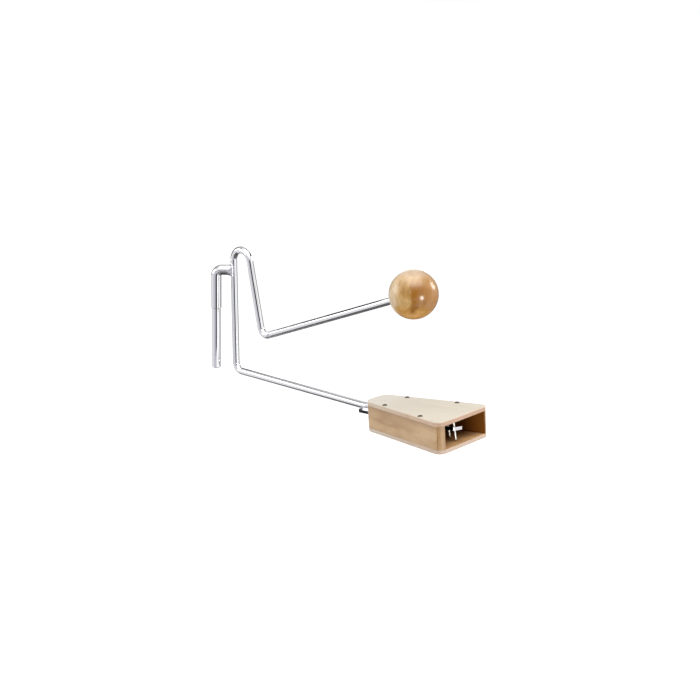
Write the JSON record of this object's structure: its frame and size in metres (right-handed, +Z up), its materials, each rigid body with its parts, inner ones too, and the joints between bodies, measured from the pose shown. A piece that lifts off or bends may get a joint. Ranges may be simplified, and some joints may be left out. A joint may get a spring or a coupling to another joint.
{
  "type": "vibraslap",
  "caption": "Hand percussion rattle: a bent chrome rod joins a wooden striker ball to a flared wooden sound box with loose steel pins, and a welded post clamps to a stand.",
  "frame": {"origin": "centre of the mounting post's shoulder, where its clamp section begins", "axes": "+Z up along the mounting post, +X from the post towards the sound box, +Y across the sound box"},
  "size_m": [0.3506, 0.0729, 0.1703],
  "materials": {
    "chrome": "polished chrome plate",
    "ball_wood": "gloss lacquer",
    "plate_wood": "pale satin lacquer",
    "wall_wood": "tan satin lacquer",
    "tongue_steel": "plain steel",
    "pin_steel": "plain steel",
    "screw_steel": "dark oxide"
  },
  "bodies": {
    "frame": {"spring_rod": "chrome", "mount_post": "chrome", "post_weld": "chrome", "tongue_weld": "chrome", "top_plate": "plate_wood", "bottom_plate": "plate_wood", "near_side_wall": "wall_wood", "far_side_wall": "wall_wood", "end_block_upper": "wall_wood", "end_block_lower": "wall_wood", "rattle_tongue": "tongue_steel", "top_plate_screws": "screw_steel", "bottom_plate_screws": "screw_steel", "tongue_screws": "screw_steel"},
    "ball": {"striker_ball": "ball_wood"},
    "pin_1": {"rattle_pin_1": "pin_steel"},
    "pin_2": {"rattle_pin_2": "pin_steel"},
    "pin_3": {"rattle_pin_3": "pin_steel"},
    "pin_4": {"rattle_pin_4": "pin_steel"},
    "pin_5": {"rattle_pin_5": "pin_steel"},
    "pin_6": {"rattle_pin_6": "pin_steel"},
    "pin_7": {"rattle_pin_7": "pin_steel"}
  },
  "joints": [
    {"name": "ball_flex", "type": "hinge", "parent": "frame", "child": "ball", "pos_m": [0.06087, 0.01365, -0.02216], "axis": [0, 1, 0], "range_deg": [-3, 3], "stiffness_Nm_per_rad": 210, "deforming": ["spring_rod"]},
    {"name": "pin_1_slide", "type": "slide", "parent": "frame", "child": "pin_1", "axis": [-0.2377, 0, 0.9713], "range_m": [0, 0.0015]},
    {"name": "pin_2_slide", "type": "slide", "parent": "frame", "child": "pin_2", "axis": [-0.2377, 0, 0.9713], "range_m": [0, 0.0015]},
    {"name": "pin_3_slide", "type": "slide", "parent": "frame", "child": "pin_3", "axis": [-0.2377, 0, 0.9713], "range_m": [0, 0.0015]},
    {"name": "pin_4_slide", "type": "slide", "parent": "frame", "child": "pin_4", "axis": [-0.2377, 0, 0.9713], "range_m": [0, 0.0015]},
    {"name": "pin_5_slide", "type": "slide", "parent": "frame", "child": "pin_5", "axis": [-0.2377, 0, 0.9713], "range_m": [0, 0.0015]},
    {"name": "pin_6_slide", "type": "slide", "parent": "frame", "child": "pin_6", "axis": [-0.2377, 0, 0.9713], "range_m": [0, 0.0015]},
    {"name": "pin_7_slide", "type": "slide", "parent": "frame", "child": "pin_7", "axis": [-0.2377, 0, 0.9713], "range_m": [0, 0.0015]}
  ]
}
